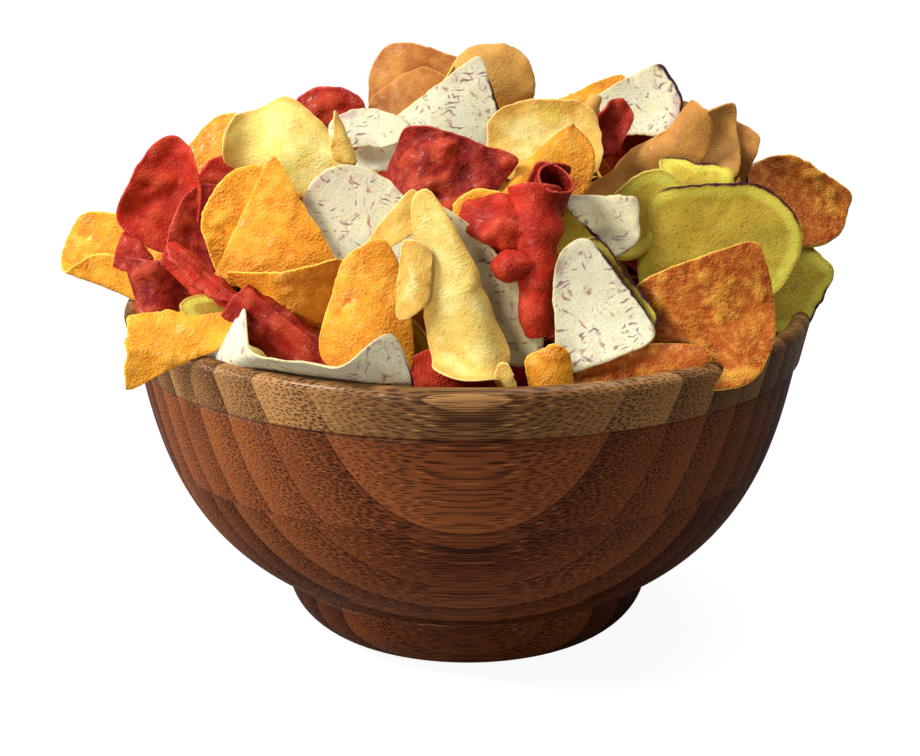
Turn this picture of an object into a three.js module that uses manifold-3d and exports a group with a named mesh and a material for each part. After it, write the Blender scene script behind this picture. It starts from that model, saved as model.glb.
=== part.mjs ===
// A bowl of root-vegetable chips, in millimetres, +Z up. The origin is the middle of the flat
// spot under the bowl. The bowl is turned from laminated bamboo rings: a foot, a wall and a
// rim band, glued on flat joints. The chips are one solid, which fills the bowl and mounds up
// over it, out to the uneven outline of the slices that lie on it.
import * as THREE from 'three';
import { mergeVertices } from 'three/addons/utils/BufferGeometryUtils.js';
import ManifoldModule from 'manifold-3d';

const wasm = await ManifoldModule();
wasm.setup();

const rad = THREE.MathUtils.degToRad;
const mix = THREE.MathUtils.lerp;
const point = (r, z) => new THREE.Vector2(r, z);

// Driving dimensions of the bowl.
const RIM_RADIUS = 125; // outside of the bowl at its lip
const BOWL_HEIGHT = 126;
const WALL = 7.8; // thickness of the wall at the rim
const LIP_RADIUS = 3.5; // round of the lip
const BAND_HEIGHT = 18.2; // the rim band, lip included
const BAND_PROUD = 1.2; // how far the band stands out from the wall below it
const BAND_FLARE = 3.5; // how far the band leans out over its height
const FOOT_HEIGHT = 24;
const FOOT_RADIUS = 66.5; // where the foot meets the wall
const REST_RADIUS = 34; // flat spot that the bowl stands on
const FLOOR_HEIGHT = 30; // inside floor
const FLOOR_RADIUS = 50;

// Driving dimensions of the chips.
const CHIP_THICKNESS = 2.4;
const CORNER_POWER = 7; // how sharp the corners of a broken slice are
const OVAL_POWER = 2.2; // a whole slice is nearly an ellipse
const MOUND_EDGE = 117; // height of the packed chips at the wall
const MOUND_TOP = 184; // height of the packed chips in the middle
const MOUND_POWER = 3;
const MOUND_SPACING = 1.7; // above 1, facets are closer together at the steep edge

const GAP = 0.3; // air between the slices and the bowl
const PACKED_GAP = 0.5; // air between the packed chips and the wall
const TAPER_REACH = 30; // mm to the side at which a taper of 1 doubles the width of a bend
const LEAST_WIDTH = 0.1; // of a bend, where its taper would close it
const ROUND_STEPS = 36; // facets round the bowl
const HEAP_ROUND_STEPS = 18; // facets round the packed chips, every second one of the bowl's
const CURVE_STEPS = 5; // facets along a curved profile
const LIP_STEPS = 4; // facets over the lip
const FLAT_SLICE_STEPS = 3; // cells across a slice that hardly bends
const BENT_SLICE_STEPS = 4;
const ROLLED_SLICE_STEPS = 5;
const BEND_STEPS = 10; // steps of the walk along a bend

const BAND_BOTTOM = BOWL_HEIGHT - BAND_HEIGHT;
const LIP_CENTRE = { r: RIM_RADIUS - LIP_RADIUS, z: BOWL_HEIGHT - LIP_RADIUS };
const BAND_RADIUS = RIM_RADIUS - BAND_FLARE; // outside of the band at its bottom
const WALL_RADIUS = BAND_RADIUS - BAND_PROUD; // outside of the wall at its top
const INNER_RADIUS = WALL_RADIUS - WALL; // inside of the wall at its top
const WALL_HANDLES = [point(106, 44), point(114.3, 78.4)]; // that draw the outside's curve
const INSIDE_HANDLES = [point(96, 48), point(106.5, 80)];

// ---- the bowl -----------------------------------------------------------------------------

/** Points of a cubic curve, which leaves its start and reaches its end along two handles. */
function curve(start, handles, end) {
  return new THREE.CubicBezierCurve(start, ...handles, end).getPoints(CURVE_STEPS);
}

/** A profile turned about the Z axis. */
function turned(profile, steps = ROUND_STEPS) {
  const geometry = new THREE.LatheGeometry(profile, steps);
  geometry.rotateX(Math.PI / 2);
  return geometry;
}

/** Outside of the wall, from the foot up to the rim band. */
function wallOutside() {
  return curve(point(FOOT_RADIUS, FOOT_HEIGHT), WALL_HANDLES, point(WALL_RADIUS, BAND_BOTTOM));
}

/** Inside of the wall, from the floor up to the rim band. */
function wallInside() {
  return curve(point(FLOOR_RADIUS, FLOOR_HEIGHT), INSIDE_HANDLES, point(INNER_RADIUS, BAND_BOTTOM));
}

/** The foot: a disc whose underside rises in a quarter ellipse from the flat spot it rests on. */
function footGeometry() {
  const profile = [point(0, 0)];
  for (let i = 0; i <= CURVE_STEPS; i += 1) {
    const turn = (Math.PI / 2) * (i / CURVE_STEPS);
    const r = mix(REST_RADIUS, FOOT_RADIUS, Math.sin(turn));
    profile.push(point(r, FOOT_HEIGHT * (1 - Math.cos(turn))));
  }
  profile.push(point(0, FOOT_HEIGHT));
  return turned(profile);
}

/** The wall and floor: a cup that stands on the foot. */
function wallGeometry() {
  const profile = [point(0, FOOT_HEIGHT), ...wallOutside(), ...wallInside().reverse(),
    point(0, FLOOR_HEIGHT)];
  return turned(profile);
}

/** Upper end of the rim: the outside of the band, the round lip and back down inside. */
function bandProfile(clearance) {
  const lip = LIP_RADIUS + clearance;
  const profile = [point(BAND_RADIUS + clearance, BAND_BOTTOM)];
  for (let i = 0; i <= LIP_STEPS; i += 1) {
    const turn = Math.PI * (i / LIP_STEPS);
    profile.push(point(LIP_CENTRE.r + lip * Math.cos(turn), LIP_CENTRE.z + lip * Math.sin(turn)));
  }
  profile.push(point(INNER_RADIUS - clearance, BAND_BOTTOM));
  return profile;
}

/** The rim band: a ring on top of the wall. */
function rimGeometry() {
  const profile = bandProfile(0);
  profile.push(profile[0].clone());
  return turned(profile);
}

/** The wall and the rim with a clearance all round them, which the chips are cut with. */
function clearanceGeometry() {
  const outside = wallOutside().map(({ x, y }) => point(x + GAP, y));
  const inside = wallInside().map(({ x, y }) => point(x - GAP, y));
  const profile = [...outside, ...bandProfile(GAP), ...inside.reverse(), outside[0].clone()];
  return turned(profile);
}

// ---- one slice ----------------------------------------------------------------------------

/** An oval outline, given as four sides: [direction in degrees, distance from the middle]. */
function oval(length, width) {
  const sides = [[0, length / 2], [90, width / 2], [180, length / 2], [270, width / 2]];
  return { sides, power: OVAL_POWER };
}

/** A broken or cut outline, given by the direction and distance of each straight side. */
function cut(...sides) {
  return { sides, power: CORNER_POWER };
}

/** A bend over a line: its direction, its place and width in mm, its turn, and its taper. */
function bend(across, at, over, turn, taper = 0) {
  return { across: rad(across), at, over, turn: rad(turn), taper };
}

/** A slice: its middle, the way it faces [bearing, lean, spin in degrees], outline and bends. */
function chip(middle, facing, outline, ...bends) {
  return { middle, facing, outline, bends };
}

/** Radius of an outline in one direction: the straight sides, blended by a power mean. */
function outlineRadius({ sides, power }, angle) {
  let sum = 0;
  for (const [direction, distance] of sides) {
    sum += Math.max(Math.cos(angle - rad(direction)) / distance, 0) ** power;
  }
  return sum ** (-1 / power);
}

/** Smooth ramp of a bend's angle, from 0 where the bend starts to 1 where it ends. */
function ramp(u) {
  const v = THREE.MathUtils.clamp(u, 0, 1);
  return v * v * (3 - 2 * v);
}

/** Where a walk of u bend widths ends, and the angle there, the bend lying between 0 and 1. */
function walk(u, turn) {
  const end = THREE.MathUtils.clamp(u, 0, 1);
  let s = Math.min(u, 0);
  let h = 0;
  for (let i = 0; i < BEND_STEPS; i += 1) {
    const angle = turn * ramp((end * (i + 0.5)) / BEND_STEPS);
    s += (Math.cos(angle) * end) / BEND_STEPS;
    h += (Math.sin(angle) * end) / BEND_STEPS;
  }
  const rest = Math.max(u - 1, 0);
  return { s: s + rest * Math.cos(turn), h: h + rest * Math.sin(turn), angle: turn * ramp(u) };
}

/** Bends a point of a slice over a line, while the middle of the slice stays where it is. */
function bendPoint(p, { across, at, over, turn, taper }) {
  const c = Math.cos(across);
  const d = Math.sin(across);
  const along = p.x * c + p.y * d;
  const side = p.y * c - p.x * d;
  const width = over * Math.max(1 + (taper * side) / TAPER_REACH, LEAST_WIDTH);
  const here = walk((along - at) / width + 0.5, turn);
  const start = walk(0.5 - at / width, turn);
  const s = (here.s - start.s) * width;
  const h = (here.h - start.h) * width;
  const angle = here.angle - start.angle;
  const cs = Math.cos(start.angle);
  const sn = Math.sin(start.angle);
  const out = s * cs + h * sn - p.z * Math.sin(angle);
  p.set(out * c - side * d, out * d + side * c, h * cs - s * sn + p.z * Math.cos(angle));
}

/** Turns a slice from lying in XY to facing its bearing and lean, and moves it to its place. */
function poseMatrix({ middle, facing }) {
  const [bearing, lean, spin] = facing.map(rad);
  const normal = new THREE.Vector3(Math.sin(bearing) * Math.cos(lean),
    -Math.cos(bearing) * Math.cos(lean), Math.sin(lean));
  const right = new THREE.Vector3(Math.cos(bearing), Math.sin(bearing), 0);
  const up = new THREE.Vector3().crossVectors(normal, right);
  const matrix = new THREE.Matrix4().makeBasis(right, up, normal);
  matrix.multiply(new THREE.Matrix4().makeRotationZ(spin));
  return matrix.setPosition(...middle);
}

/** How many cells a slice needs across, by how far its sharpest bend turns. */
function sliceSteps({ bends }) {
  const turn = Math.max(0, ...bends.map((each) => Math.abs(each.turn)));
  if (turn > rad(200)) return ROLLED_SLICE_STEPS;
  return turn > rad(75) ? BENT_SLICE_STEPS : FLAT_SLICE_STEPS;
}

/** A closed slab: an outline on a square grid drawn out to a disc, with two faces and a rim. */
function sliceGeometry(slice) {
  const n = sliceSteps(slice);
  const matrix = poseMatrix(slice);
  const positions = [];
  for (const face of [0.5, -0.5]) {
    for (let i = 0; i <= n; i += 1) {
      for (let j = 0; j <= n; j += 1) {
        const u = (2 * i) / n - 1;
        const v = (2 * j) / n - 1;
        const x = u * Math.sqrt(1 - (v * v) / 2);
        const y = v * Math.sqrt(1 - (u * u) / 2);
        const radius = outlineRadius(slice.outline, Math.atan2(y, x));
        const p = new THREE.Vector3(x * radius, y * radius, face * CHIP_THICKNESS);
        slice.bends.forEach((each) => bendPoint(p, each));
        positions.push(...p.applyMatrix4(matrix).toArray());
      }
    }
  }
  const under = (n + 1) ** 2;
  const at = (i, j) => i * (n + 1) + j;
  const triangles = [];
  const quad = (a, b, c, d) => triangles.push(a, b, c, a, c, d);
  for (let i = 0; i < n; i += 1) {
    quad(at(i, 0) + under, at(i + 1, 0) + under, at(i + 1, 0), at(i, 0));
    quad(at(i + 1, n) + under, at(i, n) + under, at(i, n), at(i + 1, n));
    quad(at(0, i + 1) + under, at(0, i) + under, at(0, i), at(0, i + 1));
    quad(at(n, i) + under, at(n, i + 1) + under, at(n, i + 1), at(n, i));
    for (let j = 0; j < n; j += 1) {
      quad(at(i, j), at(i + 1, j), at(i + 1, j + 1), at(i, j + 1));
      quad(at(i, j + 1) + under, at(i + 1, j + 1) + under, at(i + 1, j) + under, at(i, j) + under);
    }
  }
  const geometry = new THREE.BufferGeometry();
  geometry.setAttribute('position', new THREE.Float32BufferAttribute(positions, 3));
  geometry.setIndex(triangles);
  return geometry;
}

// ---- where the slices lie -----------------------------------------------------------------

// The slices of the front and top of the heap, from left to right.
const frontSlices = [
  chip([-134, 2, 140], [-12, 10, 0], cut([90, 18], [153, 15], [200, 15], [-100, 26], [-10, 28]),
    bend(-107, 10, 8, 160)),
  chip([-109, -16, 168], [5, 12, 0], cut([95, 22], [150, 13], [226, 18], [-80, 22], [-9, 18], [41, 22]),
    bend(0, 8, 8, 45)),
  chip([-112, -37, 139.5], [-8, 10, 0], cut([88, 9.5], [205, 8.5], [-90, 13], [0, 16]),
    bend(0, 0, 24, -100)),
  chip([-93, -26, 152], [5, 12, 80], oval(44, 28), bend(90, 0, 30, 40)),
  chip([-91, 16, 176], [-20, 15, 50], oval(34, 26), bend(90, 0, 30, -40)),
  chip([-65, -20, 188], [-3, 22, 0],
    cut([85, 18.5], [128, 19.5], [180, 23], [225, 20], [-95, 19], [-30, 27], [51, 14]),
    bend(140, 6, 14, 45), bend(60, 0, 16, -40)),
  chip([-83, -42, 164], [5, 15, 0], cut([90, 20], [146, 11], [195, 10], [-90, 22], [0, 16]),
    bend(0, 0, 30, 20)),
  chip([-66, -54, 166], [-3, 15, 0], cut([155, 12.5], [31, 11.5], [-86, 18]), bend(0, 0, 40, -35)),
  chip([-62, -74, 144], [0, -15, 0], cut([98, 11.5], [240, 6], [5, 22], [180, 25]),
    bend(0, 0, 44, -50)),
  chip([-64, -84, 134], [0, 18, -38], cut([90, 21], [-90, 21], [180, 20], [0, 26]),
    bend(90, 0, 30, -250)),
  chip([-101, -82, 131.5], [-4, 30, 0], cut([92, 9.5], [-61, 9.5], [178, 16], [3, 24]),
    bend(-90, 4, 8, -45)),
  chip([-86, -77, 136.5], [0, 40, -10], oval(30, 15)),
  chip([-54, -101, 124.3], [-26, 118, 0],
    cut([90, 17], [20, 37], [-62, 38], [-90, 18], [180, 50], [140, 41]), bend(-33, 28, 12, 88),
    bend(-132, 22, 10, 100)),
  chip([-35.4, -96, 148], [-5, 15, 0],
    cut([121, 17], [35, 19.5], [8, 16], [-90, 23], [164, 11.5], [205, 21]), bend(0, 0, 36, -45)),
  chip([-35, -50, 162.7], [0, 30, -35], oval(50, 36), bend(90, 0, 40, 20)),
  chip([-3, -99, 152], [3, 15, 0], cut([37, 11.5], [182, 13], [-115, 26], [-25, 25], [112, 37]),
    bend(15, 0, 40, -85)),
  chip([-8, -62, 186.5], [0, 20, 0], cut([72, 13], [142, 23], [231, 15.5], [-43, 17.5]),
    bend(100, 12, 12, 30), bend(170, 8, 5, -50)),
  chip([-50, -4, 189.5], [-10, 20, 0], cut([60, 16], [120, 16], [0, 17], [180, 17], [-90, 24]),
    bend(90, 0, 30, 40)),
  chip([-20, 8, 204], [-15, 20, 0], cut([82, 14], [142, 17.5], [190, 18], [-90, 16], [0, 20]),
    bend(0, 0, 40, -30)),
  chip([10, 2, 205], [10, 12, 0],
    cut([90, 16], [45, 17], [0, 15], [-60, 15], [-120, 18], [180, 16], [130, 17]),
    bend(90, 0, 30, -30)),
  chip([-5, -24, 200], [-3, 17, 0], cut([128, 11], [18, 15], [-92, 22]), bend(0, 0, 60, -30)),
  chip([39, 6, 196], [0, 25, 25], cut([0, 21], [90, 5], [180, 20], [270, 8]), bend(90, 0, 20, -40)),
  chip([27, -28, 190], [0, 40, 4], cut([0, 20], [90, 15], [180, 20], [270, 24]), bend(90, 0, 40, 50)),
  chip([21.5, -60, 185], [15, 25, 0], cut([133, 5], [46, 26], [-18, 22], [-70, 16]),
    bend(45, 0, 60, -20), bend(133, 1.5, 4, -60)),
  chip([62, 2, 198], [-15, 15, 0], cut([120, 10], [35, 15], [-20, 16], [-90, 12], [200, 18]),
    bend(90, 0, 30, 30)),
  chip([61, -18, 180.5], [-20, 22, 42], oval(60, 31), bend(90, 0, 30, -100)),
  chip([84, -10, 185], [10, 22, 0], cut([110, 11], [0, 13], [-60, 18], [200, 18]),
    bend(120, 0, 14, 50)),
  chip([92, -5, 185], [-5, 22, 0], cut([65, 9], [-20, 12], [-90, 16], [180, 18]), bend(90, 0, 30, -40)),
  chip([11, -84, 172], [-10, 15, 0], oval(32, 34), bend(90, 0, 30, -80)),
  chip([23, -88, 161], [0, 12, -90], oval(52, 58), bend(90, 0, 56, -330, 0.35)),
  chip([28, -78, 177], [0, -32, -105], cut([0, 9], [90, 26], [180, 8], [270, 26]),
    bend(90, 0, 50, -340)),
  chip([43, -89, 149], [0, 18, 0], cut([37, 11], [5, 21.5], [-70, 23], [180, 14], [120, 20]),
    bend(90, 0, 40, 20)),
  chip([88, -40, 160], [5, 15, 0],
    cut([93, 17], [58, 23.5], [35, 28], [0, 31], [-45, 29], [-100, 28], [-150, 36], [180, 31], [140, 27]),
    bend(170, 18, 12, -60)),
  chip([118, -16, 134], [12, 14, 0], cut([50, 15.5], [-29, 11], [-95, 17], [180, 22], [110, 17]),
    bend(0, 0, 30, -30)),
  chip([123, 2, 167.5], [15, 16, 0],
    cut([56, 7.5], [-5, 19], [-30, 20], [-65, 22], [-120, 24], [180, 24], [102, 14]),
    bend(60, 0, 12, 45)),
  chip([84, -83, 141], [10, 14, 0],
    cut([109, 20], [12, 24], [-10, 24.5], [-35, 25], [-66, 30], [-105, 25], [180, 29]),
    bend(-60, 6, 8, 12), bend(20, 0, 50, -40)),
  chip([-101, -6, 144], [-62, 22, 10], oval(56, 42), bend(90, 0, 36, 40)),
  chip([109, 4, 153], [64, 22, -15], oval(58, 44), bend(90, 0, 36, 40)),
  chip([82, -52, 130], [48, 30, 10], oval(54, 38), bend(90, 0, 36, 40)),
];

/** A number from 0 to 1 that looks random but is the same every time. */
function pick(k, j) {
  const value = Math.sin(12.9898 * k + 78.233 * j) * 43758.5453;
  return value - Math.floor(value);
}

// The slices of the back and sides lie in rows, from the rim up to the top.
const backRows = [
  { count: 8, radius: 99, height: 134, lean: 15 },
  { count: 6, radius: 79, height: 156, lean: 30 },
  { count: 4, radius: 58, height: 176, lean: 45 },
  { count: 2, radius: 26, height: 186, lean: 78 },
];

/** The ways a back slice may be curled: rolled, folded, coned, or with two turned-up ends. */
function curl(way, amount) {
  const ways = [
    [bend(90, 0, 36, mix(40, 90, amount))],
    [bend(90, 0, 12, mix(70, 130, amount))],
    [bend(90, 0, 32, -150, 0.4)],
    [bend(30, 6, 14, 55), bend(215, 6, 14, -45)],
  ];
  return ways[way];
}

/** The slices of the back and sides, each facing outwards, with its own size, spin and curl. */
function backSlices() {
  const slices = [];
  const [firstBearing, lastBearing] = [8, 172];
  backRows.forEach(({ count, radius, height, lean }, row) => {
    for (let i = 0; i < count; i += 1) {
      const k = slices.length + 1;
      const bearing = mix(firstBearing, lastBearing, (i + 0.5) / count) + mix(-5, 5, pick(k, 1));
      const r = radius + mix(-4, 4, pick(k, 2));
      const middle = [r * Math.cos(rad(bearing)), r * Math.sin(rad(bearing)),
        height + mix(-4, 4, pick(k, 4))];
      const facing = [bearing + 90 + mix(-20, 20, pick(k, 5)), lean + mix(-10, 12, pick(k, 6)),
        360 * pick(k, 7)];
      const outline = oval(mix(46, 64, pick(k, 8)), mix(34, 46, pick(k, 9)));
      slices.push(chip(middle, facing, outline, ...curl((k + row) % 4, pick(k, 3))));
    }
  });
  return slices;
}

// ---- the heap -----------------------------------------------------------------------------

/** The packed chips: they fill the bowl from its floor and mound up in the middle. */
function coreGeometry() {
  const inside = wallInside().map(({ x, y }) => point(x - PACKED_GAP, y));
  inside[0].y += GAP;
  const profile = [point(0, FLOOR_HEIGHT + GAP), ...inside];
  const edge = INNER_RADIUS - PACKED_GAP;
  for (let i = 1; i <= CURVE_STEPS; i += 1) {
    const r = edge * (1 - (i / CURVE_STEPS) ** MOUND_SPACING);
    profile.push(point(r, mix(MOUND_TOP, MOUND_EDGE, (r / edge) ** MOUND_POWER)));
  }
  return turned(profile, HEAP_ROUND_STEPS);
}

/** A closed mesh as a solid that can be joined and cut. */
function solid(geometry) {
  const bare = geometry.clone();
  bare.deleteAttribute('normal');
  bare.deleteAttribute('uv');
  const merged = mergeVertices(bare, 1e-3);
  const vertProperties = merged.attributes.position.array;
  const triVerts = new Uint32Array(merged.index.array);
  const mesh = new wasm.Mesh({ numProp: 3, vertProperties, triVerts });
  mesh.merge();
  return new wasm.Manifold(mesh);
}

/** The outer skin of a solid: its largest shell, so that air sealed between slices is filled. */
function outerSkin({ vertProperties, triVerts }) {
  const parent = Array.from({ length: vertProperties.length / 3 }, (_, i) => i);
  const root = (i) => {
    let at = i;
    while (parent[at] !== at) {
      parent[at] = parent[parent[at]];
      at = parent[at];
    }
    return at;
  };
  for (let t = 0; t < triVerts.length; t += 3) {
    parent[root(triVerts[t + 1])] = root(triVerts[t]);
    parent[root(triVerts[t + 2])] = root(triVerts[t]);
  }
  const sizes = new Map();
  triVerts.forEach((i) => sizes.set(root(i), (sizes.get(root(i)) ?? 0) + 1));
  const [largest] = [...sizes].reduce((best, entry) => (entry[1] > best[1] ? entry : best));
  return Array.from(triVerts).filter((i) => root(i) === largest);
}

/** The outer skin of a solid as a geometry. */
function shell(body) {
  const mesh = body.getMesh();
  const geometry = new THREE.BufferGeometry();
  geometry.setAttribute('position', new THREE.Float32BufferAttribute(mesh.vertProperties, 3));
  geometry.setIndex(outerSkin(mesh));
  geometry.computeVertexNormals();
  return geometry;
}

/** The heap: the packed chips and every slice joined, and cut clear of the bowl. */
function heapGeometry() {
  let heap = solid(coreGeometry());
  for (const slice of [...frontSlices, ...backSlices()]) {
    heap = heap.add(solid(sliceGeometry(slice)));
  }
  return shell(heap.subtract(solid(clearanceGeometry())));
}

// ---- the model ----------------------------------------------------------------------------

/** A named mesh with its own finish. */
function piece(name, geometry, color, roughness) {
  const material = new THREE.MeshStandardMaterial({ color, roughness, metalness: 0 });
  const mesh = new THREE.Mesh(geometry, material);
  mesh.name = name;
  return mesh;
}

const bowlOfChips = new THREE.Group();
bowlOfChips.add(
  piece('bowl_foot', footGeometry(), 0x4a2416, 0.5),
  piece('bowl_wall', wallGeometry(), 0x7b4a2e, 0.5),
  piece('bowl_rim', rimGeometry(), 0xa9805c, 0.5),
  piece('chip_heap', heapGeometry(), 0xd98a2b, 0.6),
);

export default bowlOfChips;
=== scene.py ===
# %% [markdown]
# # A bowl of root vegetable chips
#
# A deep bowl turned from dark bamboo is heaped with thin fried slices of sweet potato,
# beetroot, taro, cassava, parsnip and yam. The solid model gives the size and the place of
# everything. This lesson dresses it: the bowl gets smooth rings with bamboo grain, and the
# heap, which is one solid there, becomes real slices that curl and fold over each other.

import bpy
import numpy as np
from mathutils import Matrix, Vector


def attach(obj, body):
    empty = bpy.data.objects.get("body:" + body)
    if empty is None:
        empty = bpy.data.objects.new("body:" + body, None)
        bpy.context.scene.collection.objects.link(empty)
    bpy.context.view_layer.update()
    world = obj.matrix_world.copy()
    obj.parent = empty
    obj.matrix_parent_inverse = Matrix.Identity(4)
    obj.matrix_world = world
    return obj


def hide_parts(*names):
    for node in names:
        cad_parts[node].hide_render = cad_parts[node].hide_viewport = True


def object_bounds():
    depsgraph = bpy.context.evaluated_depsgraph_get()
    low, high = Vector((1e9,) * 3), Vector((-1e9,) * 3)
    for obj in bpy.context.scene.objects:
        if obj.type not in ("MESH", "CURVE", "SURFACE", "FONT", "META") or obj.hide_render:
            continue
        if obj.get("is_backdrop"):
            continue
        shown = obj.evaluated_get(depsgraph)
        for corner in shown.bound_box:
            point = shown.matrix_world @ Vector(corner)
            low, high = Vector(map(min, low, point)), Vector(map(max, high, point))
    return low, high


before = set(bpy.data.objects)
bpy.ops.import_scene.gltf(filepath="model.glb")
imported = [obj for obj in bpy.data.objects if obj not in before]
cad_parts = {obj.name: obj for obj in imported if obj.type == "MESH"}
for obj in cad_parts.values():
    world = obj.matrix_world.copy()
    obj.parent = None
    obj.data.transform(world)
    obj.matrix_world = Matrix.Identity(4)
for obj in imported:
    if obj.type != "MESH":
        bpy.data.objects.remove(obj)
cad_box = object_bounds()
print("solid model:", sorted(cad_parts))

# %% [markdown]
# ## Meshes from arrays
#
# Every piece here is a surface that numpy works out as one array of points in millimetres.
# One function then puts the points and faces into a mesh in metres, with the values that a
# finish needs at each point, such as how near it is to a slice's rim. Modelling by hand would
# suit a single slice, but a formula gives two hundred of them, each a little different.

# %% Put arrays into a mesh
MM = 0.001


def add_piece(name, points, faces, finish, slot, stands_for, uv=None, **values):
    """A mesh of points in mm. Faces are index arrays, of quads and perhaps of triangles.
    uv is two numbers for each point, and each of the values is one number for each point."""
    corners = np.concatenate([f.ravel() for f in faces])
    sides = np.concatenate([np.full(len(f), f.shape[1]) for f in faces])
    starts = np.concatenate([[0], np.cumsum(sides)[:-1]])
    mesh = bpy.data.meshes.new(name)
    mesh.vertices.add(len(points))
    mesh.vertices.foreach_set("co", (points * MM).astype(np.float32).ravel())
    mesh.loops.add(len(corners))
    mesh.loops.foreach_set("vertex_index", corners.astype(np.int32))
    mesh.polygons.add(len(starts))
    mesh.polygons.foreach_set("loop_start", starts.astype(np.int32))
    mesh.polygons.foreach_set("use_smooth", np.ones(len(starts), bool))
    mesh.update(calc_edges=True)
    if uv is not None:
        layer = mesh.uv_layers.new(name="slice")
        layer.data.foreach_set("uv", uv[corners].astype(np.float32).ravel())
    for key, value in values.items():
        mesh.attributes.new(key, "FLOAT", "POINT")
        mesh.attributes[key].data.foreach_set("value", value.astype(np.float32))
    mesh.materials.append(finish)
    piece = bpy.data.objects.new(name, mesh)
    bpy.context.scene.collection.objects.link(piece)
    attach(piece, "root")
    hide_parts(stands_for)
    triangles = int((sides - 2).sum())
    print(f"{name}: {len(points)} points, {triangles} triangles")


# %% [markdown]
# ## Finishes as expressions
#
# A finish is a network of nodes, and long networks are hard to read as code. Here a socket is
# wrapped in a small class, so that a formula such as `1 - mask * 0.5` adds the Math nodes for
# it. Colours are mixed with Mix nodes, since a Math node would turn them grey.

# %% A small language for node networks
class Value:
    """An output of a node, which can be calculated with: each sign adds a Math node."""

    def __init__(self, finish, socket):
        self.finish = finish
        self.socket = socket

    def math(self, operation, *others):
        settings = {"operation": operation}
        return self.finish.node("ShaderNodeMath", settings, dict(enumerate([self, *others])))

    def __add__(self, other):
        return self.math("ADD", other)

    def __radd__(self, other):
        return self.math("ADD", other)

    def __sub__(self, other):
        return self.math("SUBTRACT", other)

    def __rsub__(self, other):
        return (self * -1) + other

    def __mul__(self, other):
        return self.math("MULTIPLY", other)

    def __truediv__(self, other):
        return self.math("DIVIDE", other)

    def above(self, low, high):
        """0 below low, 1 above high, and a smooth step between them."""
        settings = {"interpolation_type": "SMOOTHSTEP"}
        return self.finish.node("ShaderNodeMapRange", settings, {0: self, 1: low, 2: high})


class Finish:
    """A material that is built up from expressions."""

    def __init__(self, name):
        self.material = bpy.data.materials.new(name)
        self.material.use_nodes = True
        self.tree = self.material.node_tree
        self.shader = self.tree.nodes["Principled BSDF"]

    def connect(self, socket, value):
        """Links a value to a socket, or sets the socket to a plain number or colour."""
        if isinstance(value, Value):
            self.tree.links.new(value.socket, socket)
        else:
            socket.default_value = value

    def node(self, kind, settings, inputs, output=0):
        """Adds a node: its settings first, a ramp's stops among them, then its sockets."""
        node = self.tree.nodes.new(kind)
        for key, value in settings.items():
            setattr(node, key, value)
        for key, value in inputs.items():
            self.connect(node.inputs[key], value)
        return Value(self, node.outputs[output])

    def attribute(self, name):
        """A value that the mesh holds at each point."""
        return self.node("ShaderNodeAttribute", {"attribute_name": name}, {}, "Fac")

    def place(self, scale=(1, 1, 1)):
        """Where a point is in the piece, in metres, times a scale."""
        where = self.node("ShaderNodeTexCoord", {}, {}, "Object")
        return self.node("ShaderNodeMapping", {}, {"Vector": where, "Scale": scale})

    def on_slice(self, scale=(1, 1, 1), turn=0):
        """Where a point is on its slice, in centimetres, turned and then times a scale."""
        where = self.node("ShaderNodeUVMap", {"uv_map": "slice"}, {})
        inputs = {"Vector": where, "Scale": tuple(1 / s for s in scale), "Rotation": (0, 0, turn)}
        return self.node("ShaderNodeMapping", {"vector_type": "TEXTURE"}, inputs)

    def axes(self, vector):
        """The three numbers of a vector."""
        return [self.node("ShaderNodeSeparateXYZ", {}, {0: vector}, k) for k in range(3)]

    def vector(self, x, y, z):
        return self.node("ShaderNodeCombineXYZ", {}, {0: x, 1: y, 2: z})

    def noise(self, vector, scale, detail=3, roughness=0.5, distortion=0):
        inputs = {"Vector": vector, "Scale": scale, "Detail": detail}
        inputs |= {"Roughness": roughness, "Distortion": distortion}
        return self.node("ShaderNodeTexNoise", {}, inputs)

    def cells(self, vector, scale, feature="F1", space="3D", even=0.0):
        """Distance to the middle of the nearest of many scattered cells, which stand at random
        where even is 0 and in rows where it is 1."""
        inputs = {"Vector": vector, "Scale": scale, "Randomness": 1 - even}
        settings = {"feature": feature, "voronoi_dimensions": space}
        return self.node("ShaderNodeTexVoronoi", settings, inputs)

    def pushed(self, vector, scale, amount):
        """A place pushed aside by a noise, so that what is straight there wanders."""
        push = self.node("ShaderNodeTexNoise", {}, {"Vector": vector, "Scale": scale}, "Color")
        settings = {"operation": "MULTIPLY_ADD"}
        return self.node("ShaderNodeVectorMath", settings, {0: push, 1: (amount,) * 3, 2: vector})

    def random(self, *numbers):
        """A number from 0 to 1 that depends on whole numbers."""
        inputs = {0: self.vector(*numbers)}
        return self.node("ShaderNodeTexWhiteNoise", {}, inputs, "Value")

    def mix(self, amount, colour, other, blend="MIX"):
        """A colour that goes over to another as the amount goes from 0 to 1."""
        settings = {"data_type": "RGBA", "blend_type": blend}
        return self.node("ShaderNodeMix", settings, {0: amount, 6: colour, 7: other}, 2)

    def raised(self, height, depth):
        """The surface's normal where a height from 0 to 1 stands up by a depth in mm."""
        return self.node("ShaderNodeBump", {}, {"Height": height, "Distance": depth * MM})

    def done(self, **sockets):
        """Fills the shader's sockets and gives the material."""
        for name, value in sockets.items():
            self.connect(self.shader.inputs[name.replace("_", " ")], value)
        return self.material


def tint(code):
    """A screen colour such as 'd98a2b' as the linear colour that Blender works with."""
    channels = np.array([int(code[i : i + 2], 16) for i in (0, 2, 4)]) / 255
    linear = np.where(channels < 0.04045, channels / 12.92, ((channels + 0.055) / 1.055) ** 2.4)
    return (*linear.tolist(), 1.0)


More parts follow.
